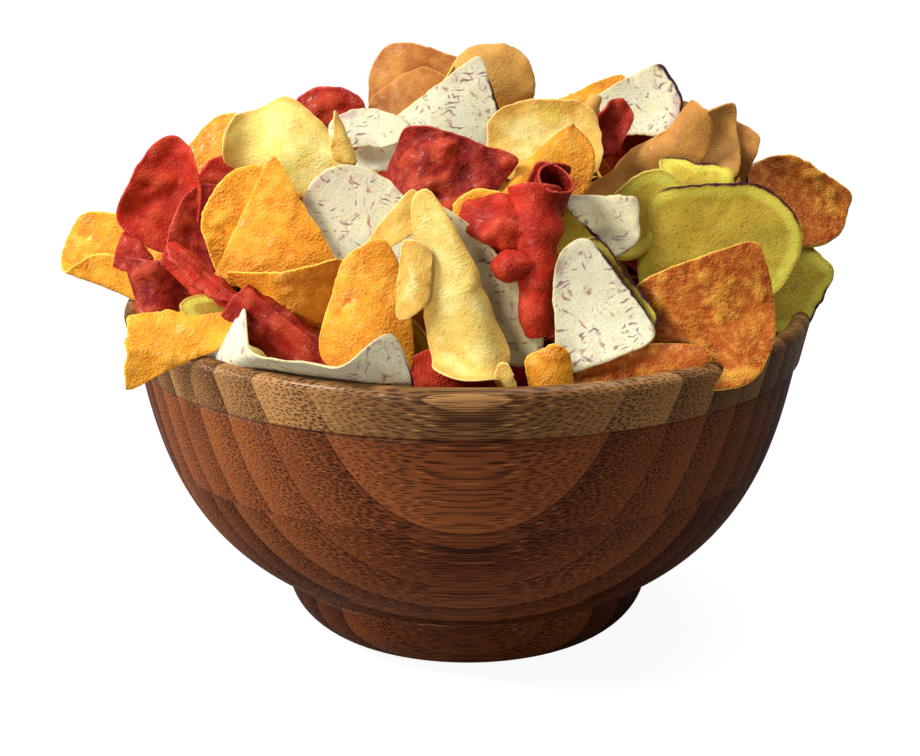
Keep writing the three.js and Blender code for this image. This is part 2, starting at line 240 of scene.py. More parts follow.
# %% [markdown]
# ## Bamboo
#
# Bamboo has no rings like wood. It is a bundle of straight dark fibres, so a block of it shows
# dots on its end and dashes on its side. The blank of this bowl was glued up from strips that
# all run from side to side, in layers, and then turned. A lathe cuts through the flat joints,
# which is why they show as curves nested in each other. All of this is in the wood and not on
# its surface, so the finish is worked out from the place in the bowl: cells in the YZ plane,
# which hardly change along X, are the fibres, and steps along Y and Z are the strips and layers.

# %% The finish of a bamboo ring
STRIP = 11.2  # mm, thickness of a strip
FIRST_JOINT = -121.4  # mm, where the first joint cuts the front of the rim
LAYER = 36.3  # mm, height of a layer of strips
LAYER_TOP = 107.8  # mm, the top layer ends under the rim band
LAYER_SHIFT = 2.6  # mm, how far the joints of one layer are off those of the next
FIBRE_PITCH = 0.98  # mm, from one dark fibre to the next
PAINTED_GLINT_PITCH = 1.8  # mm, from one painted glint on a fibre to the next


def bamboo(name, colours, roughness):
    """Strips between a dark and a light colour, crowded with fibres of a darker one, and with a few
    pale dots that are a painted highlight on fibres. A fibre is a cell in the YZ plane, so it is a dot
    on an end and a dash along a side."""
    f = Finish(name)
    dark, light, fibre, glint = (tint(code) for code in colours.split())
    x, y, z = (axis / MM for axis in f.axes(f.place()))
    layer = ((LAYER_TOP - z) / LAYER).math("FLOOR")
    along = (y - FIRST_JOINT - layer * LAYER_SHIFT) / STRIP
    strip = along.math("FLOOR")
    crowd = 1 - along.math("FRACT")
    tone = f.random(strip, layer, 3.7)
    edge = (along.math("FRACT") - 0.5).math("ABSOLUTE")
    seam = edge.above(0.482, 0.499)
    flat_edge = (((LAYER_TOP - z) / LAYER).math("FRACT") - 0.5).math("ABSOLUTE")
    seam = seam.math("MAXIMUM", flat_edge.above(0.494, 0.499))
    drift = f.noise(f.place((12, 60, 60)), 1, 3)
    streak = f.noise(f.place((25, 500, 500)), 1, 3)
    sway = f.noise(f.place((30, 120, 120)), 1, 2) * 1.2
    start = strip * 17.3 + layer * 5.1
    bundle = f.vector(y / FIBRE_PITCH + sway + start, z / FIBRE_PITCH + sway, 0)
    size = 0.18 + crowd * 0.13 + drift * 0.1
    dot = 1 - f.cells(bundle, 1, space="2D", even=0.25).above(size * 0.65, size * 1.3)
    glint_sway = sway * 0.5
    glint_bundle = f.vector(y / PAINTED_GLINT_PITCH + glint_sway + start, z / PAINTED_GLINT_PITCH + glint_sway, 0)
    painted_glint_dot = 1 - f.cells(glint_bundle, 1, space="2D").above(0.07, 0.17)
    body = f.mix(tone * 0.7 + drift * 0.5 - crowd * 0.45 + 0.12, dark, light)
    body = f.mix(streak.above(0.45, 0.8) * 0.25, body, dark)
    # Painted highlight: pale glints on some fibres, mixed into the colour of the wood.
    body = f.mix(painted_glint_dot * 0.6 * streak.above(0.3, 0.6), body, glint)
    body = f.mix(dot * (0.68 + crowd * 0.18), body, fibre)
    body = f.mix(seam * 0.6, body, fibre)
    relief = 0.7 - dot * 0.5 - seam * 0.6 + drift * 0.3
    return f.done(
        Base_Color=body,
        Roughness=roughness + dot * 0.2 + drift * 0.12,
        Normal=f.raised(relief, 0.12),
        Coat_Weight=0.08,
        Coat_Roughness=0.14,
        Specular_IOR_Level=0.12,
    )


wall_finish = bamboo("stained_bamboo", "4e200a 97552c 1c0702 bc7840", 0.4)
rim_finish = bamboo("pale_bamboo", "5c3a1e b2824e 321608 cca268", 0.3)
foot_finish = bamboo("dark_bamboo", "401c0a 7c4220 1a0803 945a34", 0.4)
print("finishes of the bowl:", [f.name for f in (wall_finish, rim_finish, foot_finish)])

# %% [markdown]
# ## The bowl
#
# The bowl is three rings: a foot, a wall and a rim band that stands a little proud of the wall. Each
# is a profile turned about the upright axis, which is how a lathe makes it. The solid model has the
# same profiles with few facets; here they are fine, and the corners of the rim band are rounded as
# sandpaper leaves them.

# %% Turn profiles into rings
TURN_STEPS = 240


def bezier(start, first, second, end, steps):
    """Points of a cubic curve: each of its four points weighted by powers of t and 1 - t."""
    t = np.linspace(0, 1, steps)[:, None]
    weights = (1 - t) ** 3, 3 * (1 - t) ** 2 * t, 3 * (1 - t) * t**2, t**3
    return sum(w * np.array(p, float) for w, p in zip(weights, (start, first, second, end)))


def eased(profile, radius, steps=5):
    """Rounds the corners of a closed profile: each corner becomes a curve of three points,
    which starts and ends a radius away from it along its two sides."""
    points = np.array(profile, float)
    before, after = np.roll(points, 1, 0) - points, np.roll(points, -1, 0) - points
    reach = []
    for side in (before, after):
        length = np.hypot(*side.T)[:, None]
        reach.append(points + side / length * np.minimum(radius, length * 0.45))
    t = np.linspace(0, 1, steps)[None, :, None]
    start, end, corner = reach[0][:, None], reach[1][:, None], points[:, None]
    return ((1 - t) ** 2 * start + 2 * t * (1 - t) * corner + t**2 * end).reshape(-1, 2)


def turned(profile, steps=TURN_STEPS):
    """A closed profile of radius and height carried round the Z axis: the point at angle a is
    radius times cos a, radius times sin a, height. Gives the points and the quads."""
    angle = np.linspace(0, 2 * np.pi, steps, endpoint=False)[:, None]
    r, z = profile[:, 0][None], profile[:, 1][None]
    points = np.stack([r * np.cos(angle), r * np.sin(angle), z + 0 * angle], -1)
    index = np.arange(points.shape[0] * points.shape[1]).reshape(points.shape[:2])
    on, up = np.roll(index, -1, 0), np.roll(index, -1, 1)
    quads = np.stack([index, on, np.roll(on, -1, 1), up], -1).reshape(-1, 4)
    return points.reshape(-1, 3), quads


def drop_axis(points, quads):
    """Merges the points on the axis, so that a profile that touches it closes in a pole."""
    on_axis = np.hypot(points[:, 0], points[:, 1]) < 1e-6
    level = np.round(points[:, 2], 4)
    keep = np.arange(len(points))
    for z in np.unique(level[on_axis]):
        ring = np.flatnonzero(on_axis & (level == z))
        keep[ring] = ring[0]
    quads = keep[quads]
    same = quads == np.roll(quads, -1, 1)
    whole = quads[~same.any(1)]
    poles = quads[same.sum(1) == 1]
    first = np.argmax(poles == np.roll(poles, -1, 1), 1)
    order = (first[:, None] + np.array([1, 2, 3])) % 4
    triangles = np.take_along_axis(poles, order, 1)
    used, compact = np.unique(np.concatenate([whole.ravel(), triangles.ravel()]), return_inverse=True)
    split = whole.size
    return points[used], [compact[:split].reshape(-1, 4), compact[split:].reshape(-1, 3)]


# %% The three rings
RIM_RADIUS = 125.0
BOWL_HEIGHT = 126.0
LIP_RADIUS = 3.5
BAND_BOTTOM = 107.8
BAND_RADIUS = 121.5
WALL_RADIUS = 120.3
INNER_RADIUS = 112.5
FOOT_HEIGHT = 24.0
FOOT_RADIUS = 66.5
REST_RADIUS = 34.0
FLOOR_HEIGHT = 30.0
FLOOR_RADIUS = 50.0

quarter = np.linspace(0, np.pi / 2, 24)
foot_side = np.stack(
    [
        REST_RADIUS + (FOOT_RADIUS - REST_RADIUS) * np.sin(quarter),
        FOOT_HEIGHT * (1 - np.cos(quarter)),
    ],
    -1,
)
foot_profile = np.concatenate([[(0, 0)], foot_side, [(0, FOOT_HEIGHT)]])

foot_edge, band_edge = (FOOT_RADIUS, FOOT_HEIGHT), (WALL_RADIUS, BAND_BOTTOM)
wall_outside = bezier(foot_edge, (106, 44), (114.3, 78.4), band_edge, 48)
inner_edge, floor_edge = (INNER_RADIUS, BAND_BOTTOM), (FLOOR_RADIUS, FLOOR_HEIGHT)
wall_inside = bezier(inner_edge, (106.5, 80), (96, 48), floor_edge, 32)
wall_profile = np.concatenate([[(0, FOOT_HEIGHT)], wall_outside, wall_inside, [(0, FLOOR_HEIGHT)]])

half = np.linspace(0, np.pi, 17)[:, None]
lip_middle = np.array([RIM_RADIUS - LIP_RADIUS, BOWL_HEIGHT - LIP_RADIUS])
lip = lip_middle + LIP_RADIUS * np.hstack([np.cos(half), np.sin(half)])
band_corners = [(INNER_RADIUS, BAND_BOTTOM), (BAND_RADIUS, BAND_BOTTOM)]
rim_profile = np.concatenate([eased([*band_corners, lip[0], lip[-1]], 0.8)[:10], lip])

for name, node, profile, finish, slot in (
    ("bowl_foot_ring", "bowl_foot", foot_profile, foot_finish, "foot_wood"),
    ("bowl_wall_ring", "bowl_wall", wall_profile, wall_finish, "wall_wood"),
    ("bowl_rim_band", "bowl_rim", rim_profile, rim_finish, "rim_wood"),
):
    points, faces = drop_axis(*turned(profile))
    add_piece(name, points, faces, finish, slot, node)

# %% [markdown]
# ## One slice
#
# A chip starts as a thin flat slice of a root, and in hot oil it blisters, curls and folds.
# A cloth simulation would give soft folds in unknown places, so each slice is bent by formula
# instead: an outline, a small relief, and then one bend after another over a line. A bend
# moves every point along an arc whose angle grows smoothly from nothing to its full turn.

# %% The outline and the bend
def oval(length, width):
    """Four sides, whose blend is nearly an ellipse."""
    return [(0, length / 2), (90, width / 2), (180, length / 2), (270, width / 2)], 2.2


def cut(*sides, power=7):
    """Straight sides, each a direction in degrees and a distance in mm from the middle."""
    return list(sides), power


def outline_radius(outline, angle):
    """The distance to the outline: every side gives cos(angle - direction) / distance where
    that is positive, and the power mean of these is one over the radius."""
    sides, power = outline
    direction, distance = np.array(sides, float).T
    facing = np.cos(angle[..., None] - np.radians(direction)) / distance
    return (np.clip(facing, 0, None) ** power).sum(-1) ** (-1 / power)


BEND_TABLE = np.linspace(-40, 40, 8001)


def bend(across, at, over, turn, taper=0):
    """A bend towards a direction, over a line at a distance from the middle. It turns over a
    width, and a taper widens that along the line, which rolls the slice into a cone."""
    return across, at, over, turn, taper


def bent(points, across, at, over, turn, taper):
    """Points of the slice after a bend. The angle at a distance s is the turn times a smooth
    step of s, the new place is the sum of cos and sin of that angle along s, and the middle
    of the slice keeps its place and its tilt."""
    a, full = np.radians(across), np.radians(turn)
    s = points[..., 0] * np.cos(a) + points[..., 1] * np.sin(a)
    t = points[..., 1] * np.cos(a) - points[..., 0] * np.sin(a)
    width = over * np.clip(1 + taper * t / 30, 0.1, None)
    step = np.clip(BEND_TABLE + 0.5, 0, 1)
    angle = full * step * step * (3 - 2 * step)
    pitch = BEND_TABLE[1] - BEND_TABLE[0]
    middle_angle = (angle[1:] + angle[:-1]) / 2
    run = np.concatenate([[0], np.cumsum(np.cos(middle_angle) * pitch)])
    rise = np.concatenate([[0], np.cumsum(np.sin(middle_angle) * pitch)])
    here, start = (s - at) / width, -at / width
    run_here, rise_here, angle_here = (np.interp(here, BEND_TABLE, v) for v in (run, rise, angle))
    run_start, rise_start, tilt = (np.interp(start, BEND_TABLE, v) for v in (run, rise, angle))
    along, up = (run_here - run_start) * width, (rise_here - rise_start) * width
    lift = points[..., 2]
    new_s = along * np.cos(tilt) + up * np.sin(tilt) - lift * np.sin(angle_here - tilt)
    new_h = up * np.cos(tilt) - along * np.sin(tilt) + lift * np.cos(angle_here - tilt)
    new_x = new_s * np.cos(a) - t * np.sin(a)
    new_y = new_s * np.sin(a) + t * np.cos(a)
    return np.stack([new_x, new_y, new_h], -1)


rolled = bent(np.array([20.0, 0, 0]), *bend(0, 0, 40, 180))
print("rolled half round, the edge of a slice 40 mm long ends at", rolled.round(1), "mm")


def ripples(x, y, rng, octaves=3):
    """Smooth random relief: sums of sines whose waves are themselves shifted by sines, each
    octave with waves half as long and half as high."""
    total, height = 0, 1.0
    for octave in range(octaves):
        for _ in range(4):
            a = rng.uniform(0, 2 * np.pi)
            rate = rng.uniform(0.7, 1.3) * 2**octave
            phase = rng.uniform(0, 2 * np.pi)
            along, side = x * np.cos(a) + y * np.sin(a), x * np.sin(a) - y * np.cos(a)
            shift = 0.7 * np.sin(rate * side + 2 * phase)
            total = total + height * np.sin(rate * along + phase + shift)
        height *= 0.5
    return total / 5


# %% [markdown]
# Each root fries in its own way. Sweet potato and beetroot blister all over, taro stays flat,
# and cassava only waves. These numbers set how many blisters a slice has, how wide and how
# high they are, and how much the rim ripples.

# %% How each root fries
FRYING = {
    # kind: blisters per square cm, their radius and height in mm, rim ripple, warp, thickness
    "sweet_potato": (4.5, (0.9, 2.2), (0.2, 0.5), 0.9, 1.2, 1.0),
    "beetroot": (3.4, (1.3, 3.4), (0.45, 1.3), 1.1, 1.4, 1.0),
    "taro": (0.9, (1.4, 3.4), (0.1, 0.3), 0.7, 1.1, 0.9),
    "cassava": (1.2, (1.8, 4.0), (0.15, 0.5), 1.0, 1.5, 0.9),
    "parsnip": (1.8, (1.4, 3.4), (0.25, 0.6), 1.2, 1.3, 0.8),
    "yam": (1.6, (1.2, 3.2), (0.15, 0.5), 0.8, 1.2, 0.9),
}
print("roots:", list(FRYING))

# %% Fry a slice
def slab_faces(n):
    """Quads of a thin closed slab over an n by n grid: the upper face, the lower face turned
    over, and two strips that join their edges over a ring of points between them."""
    top = np.arange(n * n).reshape(n, n)
    cells = np.stack([top[:-1, :-1], top[1:, :-1], top[1:, 1:], top[:-1, 1:]], -1).reshape(-1, 4)
    ring = np.concatenate([top[:-1, 0], top[-1, :-1], top[:0:-1, -1], top[0, :0:-1]])
    middle = 2 * n * n + np.arange(len(ring))
    below = ring + n * n
    strips = [
        np.stack([a, np.roll(a, -1), np.roll(b, -1), b], -1)
        for a, b in ((below, middle), (middle, ring))
    ]
    return np.concatenate([cells, cells[:, ::-1] + n * n, *strips]), ring


def fried_slice(
    kind, outline, bends, seed, n, cup=0, frill=0, waves=5, skin=None, rough=1, pleats=None, puff=1
):
    """Points of one slice before it is placed, and the values its finish reads. A square
    grid is drawn out to a disc, the disc to the outline, and the height is a cup, a frill of
    some waves at the rim, a warp with small buckles, pleats, a ripple of the rim and round
    blisters, three in ten of them hollows. Then come the bends. Pleats are a direction, a
    width and a depth, skin is the direction and half the spread of the peel left on the rim,
    rough tells how ragged the rim is, and puff how high the blisters are."""
    density, (thin, wide), (low, high), ripple, warp, thickness = FRYING[kind]
    rng = np.random.default_rng(seed)
    u, v = np.meshgrid(np.linspace(-1, 1, n), np.linspace(-1, 1, n), indexing="ij")
    x, y = u * np.sqrt(1 - v * v / 2), v * np.sqrt(1 - u * u / 2)
    rho, phi = np.hypot(x, y), np.arctan2(y, x)
    reach = outline_radius(outline, phi)
    jag = ripples(3 * np.cos(phi), 3 * np.sin(phi), rng, 4) * 0.9
    jag = jag + ripples(14 * np.cos(phi), 14 * np.sin(phi), rng, 2) * 0.35
    reach = reach + jag * rough
    x, y = rho * reach * np.cos(phi), rho * reach * np.sin(phi)
    height = cup * rho**2 + frill * rho**3 * np.sin(waves * phi + seed)
    height = height + warp * (ripples(x / 14, y / 14, rng, 2) + 0.16 * ripples(x / 4, y / 4, rng, 3))
    if pleats is not None:
        across, width, depth = pleats
        s = x * np.cos(np.radians(across)) + y * np.sin(np.radians(across))
        height = height + depth * np.sin(2 * np.pi * (s + ripples(x / 9, y / 9, rng, 1)) / width)
    height = height + ripple * rho**5 * ripples(5 * np.cos(phi), 5 * np.sin(phi), rng, 2)
    count = int(density * (np.pi * (reach**2).mean()) / 100) + 2
    centre_r, centre_a = np.sqrt(rng.uniform(0, 1, count)) * 0.95, rng.uniform(0, 2 * np.pi, count)
    centre_reach = outline_radius(outline, centre_a)
    cx, cy = centre_r * centre_reach * np.cos(centre_a), centre_r * centre_reach * np.sin(centre_a)
    radius = rng.uniform(thin, wide, count)
    rise = puff * rng.uniform(low, high, count)
    hollow = rng.uniform(0, 1, count) < 0.3
    rise = rise * np.where(hollow, -0.7, 1) * radius / wide
    turn, stretch = rng.uniform(0, np.pi, count), rng.uniform(1.0, 2.2, count)
    dx, dy = x[..., None] - cx, y[..., None] - cy
    a, b = dx * np.cos(turn) + dy * np.sin(turn), dy * np.cos(turn) - dx * np.sin(turn)
    bumps = np.exp(-(((a / stretch) ** 2 + b**2) / radius**2) ** 1.5)
    lumps = (bumps * rise).sum(-1)
    height = height + lumps
    near_rim = (1 - rho) * reach
    faces, ring = slab_faces(n)
    half = np.where(rho > 0.9999, 0.36, 0.5) * thickness
    flat = np.stack([x, y], -1).reshape(-1, 2)
    upper = np.column_stack([flat, (height + half).ravel()])
    lower = np.column_stack([flat, (height - half).ravel()])
    out = flat[ring] * (1 + 0.18 * thickness / np.hypot(*flat[ring].T))[:, None]
    edge = np.column_stack([out, height.ravel()[ring]])
    points = np.concatenate([upper, lower, edge])
    uv = np.concatenate([flat, flat, out]) / 10
    for each in bends:
        points = bent(points, *each)
    rim = np.concatenate([near_rim.ravel(), near_rim.ravel(), np.full(len(ring), -0.5)])
    lump = (lumps / high).ravel()
    lump = np.concatenate([lump, lump, lump[ring]])
    peel = np.zeros(n * n)
    if skin is not None:
        middle, spread = skin
        off = np.abs((np.degrees(phi) - middle + 180) % 360 - 180).ravel()
        peel = np.clip((spread - off) / 12 + 0.5, 0, 1)
    peel = np.concatenate([peel, peel, peel[ring]])
    return points, faces, {"uv": uv, "rim": rim, "lump": lump, "peel": peel}


# %% [markdown]
# ## Where the slices lie
#
# A slice lies in its own flat space until it is placed. It is turned to face a bearing, where
# 0 is towards the front, leaned back, spun in its own plane, and moved to its middle.

# %% Place a slice
slices = []


def facing(bearing, lean, spin):
    """The slice's own axes in the bowl: across, up and out of its face, as three rows."""
    b, tip, s = np.radians([bearing, lean, spin])
    out = np.array([np.sin(b) * np.cos(tip), -np.cos(b) * np.cos(tip), np.sin(tip)])
    right = np.array([np.cos(b), np.sin(b), 0])
    up = np.cross(out, right)
    return np.array([right * np.cos(s) + up * np.sin(s), up * np.cos(s) - right * np.sin(s), out])


# The inside of the bowl, less a slice's thickness, in mm.
INSIDE_HEIGHTS = (80, 108, 122, 128)
INSIDE_RADII = (94, 106, 109, 115)


def held(points):
    """Points of a slice that lies in the bowl. Below the rim, the part that would come through
    the wall is pressed to it: what goes beyond is reduced to a fortieth."""
    radius = np.hypot(points[:, 0], points[:, 1])
    wall = np.interp(points[:, 2], INSIDE_HEIGHTS, INSIDE_RADII)
    beyond = (radius > wall) & (points[:, 2] <= INSIDE_HEIGHTS[-1])
    pressed = np.where(beyond, (wall + (radius - wall) / 40) / radius, 1)
    return points * np.column_stack([pressed, pressed, np.ones(len(points))])


def chip(kind, middle, pose, outline, *bends, cell=1.0, tone=None, inside=False, **details):
    """Fries a slice, turns it to its pose, moves its middle into place and keeps it. Its
    grid has cells of about a given size in mm. Its tone, from 0 pale to 1 dark, is the
    fraction of its number times the golden ratio where none is given. One that lies inside
    the bowl is held by its wall."""
    number = len(slices) + 1
    width = 2 * outline_radius(outline, np.linspace(0, 2 * np.pi, 48)).mean()
    n = int(np.clip(width / cell, 14, 56))
    points, faces, values = fried_slice(kind, outline, bends, 100 + number, n, **details)
    points = points @ facing(*pose) + np.array(middle, float)
    if inside:
        points = held(points)
    own_part = np.array([7.3 * number % 61, 4.1 * number % 47])  # of the endless pattern
    values["uv"] = values["uv"] + own_part
    tone = (number * 0.618034) % 1 if tone is None else tone
    values["tone"] = np.full(len(points), tone)
    slices.append((kind, points, faces, values))


# %% [markdown]
# The front of the heap is laid slice by slice, from left to right, because there each one
# can be told from the next. The lines below are the whole recipe: root, middle in mm, pose in
# degrees, outline, bends. Slices that lie in front of others simply stand nearer to the front.

# %% The left of the heap
chip("sweet_potato", (-134, 2, 140), (-12, 10, 0),
     cut((90, 18), (153, 15), (200, 15), (-100, 26), (-10, 28)), bend(-107, 10, 8, 160), tone=0.05)
chip("beetroot", (-109, -16, 168), (5, 12, 0),
     cut((95, 22), (150, 13), (226, 18), (-80, 22), (-9, 18), (41, 22), power=5),
     bend(0, 8, 8, 45), cup=3, tone=0.15)
chip("beetroot", (-112, -37, 139.5), (-8, 10, 0), cut((88, 9.5), (205, 8.5), (-90, 13), (0, 16)),
     bend(0, 0, 24, -100))
chip("beetroot", (-119, -24, 149.5), (-20, 10, 0), cut((53, 3.5), (160, 6.5), (-90, 7), (-10, 9)),
     bend(53, 1, 4, -60))
chip("beetroot", (-88, 0, 166), (10, 15, 70), oval(28, 22), bend(90, 0, 20, 30))
chip("beetroot", (-93, -26, 152), (5, 12, 80), oval(44, 28), bend(90, 0, 30, 40))
chip("sweet_potato", (-91, 16, 176), (-20, 15, 50), oval(34, 26), bend(90, 0, 30, -40), tone=0.3)
chip("parsnip", (-65, -20, 188), (-3, 22, 0),
     cut((86, 19), (126, 16.5), (170, 20), (225, 19), (-95, 19), (-30, 27), (51, 14.5), power=9),
     bend(172, 2, 10, -34), bend(170, 12, 7, 66), bend(60, 0, 22, -30), tone=0.1)
chip("sweet_potato", (-83, -42, 164), (5, 15, 0),
     cut((90, 20), (146, 11), (195, 10), (-90, 22), (0, 16), power=5), bend(0, 0, 30, 20), tone=0.15)
chip("sweet_potato", (-66, -54, 166), (-3, 15, 0),
     cut((155, 12.5), (31, 11.5), (-86, 18), power=9), bend(0, 0, 40, -35), tone=0.25)
chip("sweet_potato", (-62, -74, 144), (0, -15, 0), cut((98, 11.5), (240, 6), (5, 22), (180, 25)),
     bend(0, 0, 44, -50), tone=0.4)
chip("beetroot", (-64, -84, 134), (0, 18, -38), cut((90, 21), (-90, 21), (180, 20), (0, 26), power=4),
     bend(90, 0, 36, -205), pleats=(90, 4.5, 0.6), tone=0.6)
chip("beetroot", (-90, -68, 150), (-5, 20, -38), cut((90, 13), (-90, 12), (180, 17), (0, 17), power=4),
     bend(90, 3, 7, 130), bend(-90, 5, 7, -100), pleats=(90, 4, 0.7), rough=1.6)
chip("sweet_potato", (-101, -82, 131.5), (-4, 30, 0),
     cut((92, 9.5), (-61, 9.5), (178, 16), (3, 24), power=14), bend(-90, 4, 8, -45), rough=2.2,
     tone=0)
chip("yam", (-84, -73, 139), (0, 40, -10), oval(30, 13), tone=0.9)
chip("taro", (-54, -101, 124.3), (-26, 118, 0),
     cut((90, 17), (20, 37), (-62, 38), (-90, 18), (180, 50), (140, 41), power=8),
     bend(-33, 28, 12, 88), bend(-132, 22, 10, 100), skin=(35, 40), tone=0)
chip("sweet_potato", (-35.4, -96, 148), (-5, 15, 0),
     cut((121, 17), (35, 19.5), (8, 16), (-90, 23), (164, 11.5), (205, 21), power=8),
     bend(0, 0, 36, -45), tone=0.3)
print("left:", len(slices), "slices")

# %% The middle of the heap
chip("taro", (-35, -46, 163), (0, 18, -35), oval(50, 36), bend(90, 0, 40, 20), cup=2, tone=0.1)
chip("taro", (2, -84, 152), (0, 16, -52), oval(66, 26), bend(90, 0, 40, 30))
chip("parsnip", (-3, -99, 152), (3, 15, 0),
     cut((27, 9), (187, 12.5), (-110, 30), (-30, 27), (112, 37), power=9), bend(-105, 24, 5, 85),
     bend(15, 0, 34, -85), pleats=(10, 17, 0.8), tone=0.5)
chip("parsnip", (13, -108, 124), (0, 5, -80), oval(14, 6))
chip("parsnip", (-18.5, -100, 158), (-14, 12, 0),
     cut((95, 13), (48, 11), (0, 6.5), (-42, 9.5), (-92, 14.5), (178, 5), power=9),
     bend(0, 1, 12, -28), puff=0.3, cell=0.6, rough=0.5, tone=0.8)
chip("parsnip", (-21, -90, 175), (-8, 20, 20), cut((120, 6), (15, 9), (-78, 5), (200, 16)),
     bend(0, 0, 22, -50), tone=0.9)
chip("beetroot", (-8, -62, 186.5), (0, 20, 0),
     cut((72, 13), (142, 23), (231, 15.5), (-43, 17.5)), bend(100, 12, 12, 30),
     bend(170, 8, 5, -50), puff=2.2, cell=0.75, tone=0.8)
chip("parsnip", (-43, -38, 191.5), (10, 15, 0),
     cut((173, 4.6), (32, 4.5), (-112, 7), (-42, 8.5), power=9), bend(22, 1, 3, -70), tone=0.6)
chip("beetroot", (-50, -4, 189.5), (-10, 20, 0),
     cut((60, 16), (120, 16), (0, 17), (180, 17), (-90, 24), power=4), bend(90, 0, 30, 40), tone=0.5)
chip("cassava", (-20, 8, 204), (-15, 20, 0),
     cut((82, 14), (142, 17.5), (190, 18), (-90, 16), (0, 20), power=6),
     bend(0, 0, 40, -30), tone=0.75)
chip("cassava", (-20, -2, 199), (-10, 30, 0),
     cut((125, 11), (200, 16), (-90, 14), (0, 18), (60, 15), power=5), bend(0, 0, 40, -30), tone=0.7)
chip("cassava", (10, 2, 205), (10, 12, 0),
     cut((90, 16), (45, 17), (0, 15), (-60, 15), (-120, 18), (180, 16), (130, 17), power=6),
     bend(90, 0, 30, -30), cup=-3, tone=0.1)
chip("taro", (-5, -24, 200), (-3, 17, 0), cut((128, 11), (18, 15), (-92, 22), power=9),
     bend(0, 0, 60, -30), skin=(15, 30), tone=0.2)
chip("taro", (-35, -26, 194), (0, 30, 0), oval(28, 14))
chip("sweet_potato", (39, 6, 196), (0, 25, 25), cut((0, 21), (90, 5), (180, 20), (270, 8)),
     bend(90, 0, 20, -40), tone=0.2)
chip("parsnip", (27, -28, 190), (0, 40, 4), cut((0, 20), (90, 15), (180, 20), (270, 24), power=3),
     bend(90, 0, 40, 50), cup=3, tone=0.95)
chip("cassava", (42, -24, 198.5), (0, 20, 65), cut((0, 8), (200, 9), (160, 9), (90, 5), (-90, 5)),
     bend(90, 0, 12, -120), tone=0)
chip("sweet_potato", (21.5, -60, 185), (15, 25, 0),
     cut((133, 5), (46, 26), (-18, 22), (-70, 16)), bend(45, 0, 60, -20), bend(133, 1.5, 4, -60),
     tone=0.3)
chip("sweet_potato", (10, -74, 162), (0, 18, -60), oval(44, 30))
print("middle:", len(slices), "slices so far")

# %% The right of the heap, and what the outer slices rest on
chip("taro", (62, 2, 198), (-15, 15, 0),
     cut((120, 10), (35, 15), (-20, 16), (-90, 12), (200, 18)), bend(90, 0, 30, 30),
     skin=(25, 45), tone=0.1)
chip("beetroot", (50, -18, 193), (20, 10, 60), oval(22, 15), bend(90, 0, 20, 100))
chip("cassava", (61, -18, 180.5), (-20, 22, 42), oval(60, 31), bend(90, 3, 15, -105),
     frill=1.6, waves=4, pleats=(35, 22, 0.8), puff=0.6, tone=0.45)
chip("cassava", (84, -10, 185), (10, 22, 0), cut((110, 11), (0, 13), (-60, 18), (200, 18)),
     bend(120, 0, 14, 50), tone=0.4)
chip("cassava", (92, -5, 185), (-5, 22, 0), cut((65, 9), (-20, 12), (-90, 16), (180, 18)),
     bend(90, 0, 30, -40), tone=0.55)
chip("beetroot", (11, -84, 172), (-10, 15, 0), oval(32, 34), bend(90, 0, 30, -80), cup=-6,
     pleats=(60, 9, 0.5), puff=1.3, cell=0.8, tone=0.35)
chip("beetroot", (14, -92, 160), (-15, 10, 0), oval(15, 18), bend(90, 0, 16, -80), cup=-5,
     puff=0.9, cell=0.6, tone=0.4)
chip("beetroot", (23, -88, 161), (0, 12, -90), oval(52, 58), bend(90, 0, 56, -330, 0.35),
     pleats=(0, 15, 0.5), puff=0.45, tone=0.15)
chip("beetroot", (28, -78, 177), (0, -32, -105), cut((0, 9), (90, 26), (180, 8), (270, 26)),
     bend(90, 0, 50, -340), puff=0.4)
chip("taro", (43, -89, 149), (0, 18, 0),
     cut((37, 11), (5, 21.5), (-70, 23), (180, 14), (120, 20), power=6), bend(90, 0, 40, 20), cup=2,
     skin=(30, 60), tone=0.1)
chip("yam", (44.5, -86, 150), (0, 18, 0),
     cut((37, 11.5), (5, 22), (-70, 20), (180, 14), (120, 18), power=6), bend(90, 0, 40, 20), cup=2,
     skin=(30, 70), tone=1)
chip("taro", (49, -68, 170), (0, 18, 0), cut((88, 9), (5, 10), (-55, 11), (225, 7.5), power=8),
     bend(30, 0, 30, 25), skin=(225, 40), tone=0.5)
chip("yam", (61, -34, 165), (-5, 18, 50), oval(36, 24), bend(90, 0, 30, 30), tone=0.5)
chip("yam", (88, -40, 160), (5, 15, 0),
     cut((93, 17), (58, 23.5), (35, 28), (0, 31), (-45, 29), (-100, 28), (-150, 36), (180, 31),
         (140, 27)),
     bend(170, 18, 12, -60), cup=3, skin=(72, 70), tone=0.4)
chip("yam", (79.5, -31, 177), (0, 25, -4), cut((85, 7), (180, 12), (0, 14), (-90, 12)),
     bend(90, 0, 14, -30), skin=(90, 60), tone=0)
# This slice gets the palest tone because it lies in shade: painted light.
chip("yam", (118, -16, 134), (4, 20, 0),
     cut((50, 15.5), (-29, 11), (-95, 17), (180, 22), (110, 17)), bend(0, 0, 30, -30),
     skin=(-40, 40), tone=0)
chip("sweet_potato", (123, 2, 167.5), (15, 16, 0),
     cut((56, 7.5), (-5, 19), (-30, 20), (-65, 22), (-120, 24), (180, 24), (102, 14)),
     bend(60, 0, 12, 45), tone=1.2)
chip("sweet_potato", (84, -83, 141), (10, 14, 0),
     cut((109, 20), (12, 24), (-10, 24.5), (-35, 25), (-66, 30), (-105, 25), (180, 29)),
     bend(-60, 6, 8, 12), bend(20, 0, 50, -40), tone=0.95)
chip("sweet_potato", (56, -97, 126.5), (5, 22, 8), oval(54, 14), frill=2.5, waves=3, tone=1)
chip("sweet_potato", (27, -106, 129), (0, 10, 0),
     cut((112, 6.5), (55, 8), (180, 8), (-90, 10), (10, 9)), bend(0, 0, 14, -60),
     frill=1, waves=3, cell=0.6, tone=0.3)
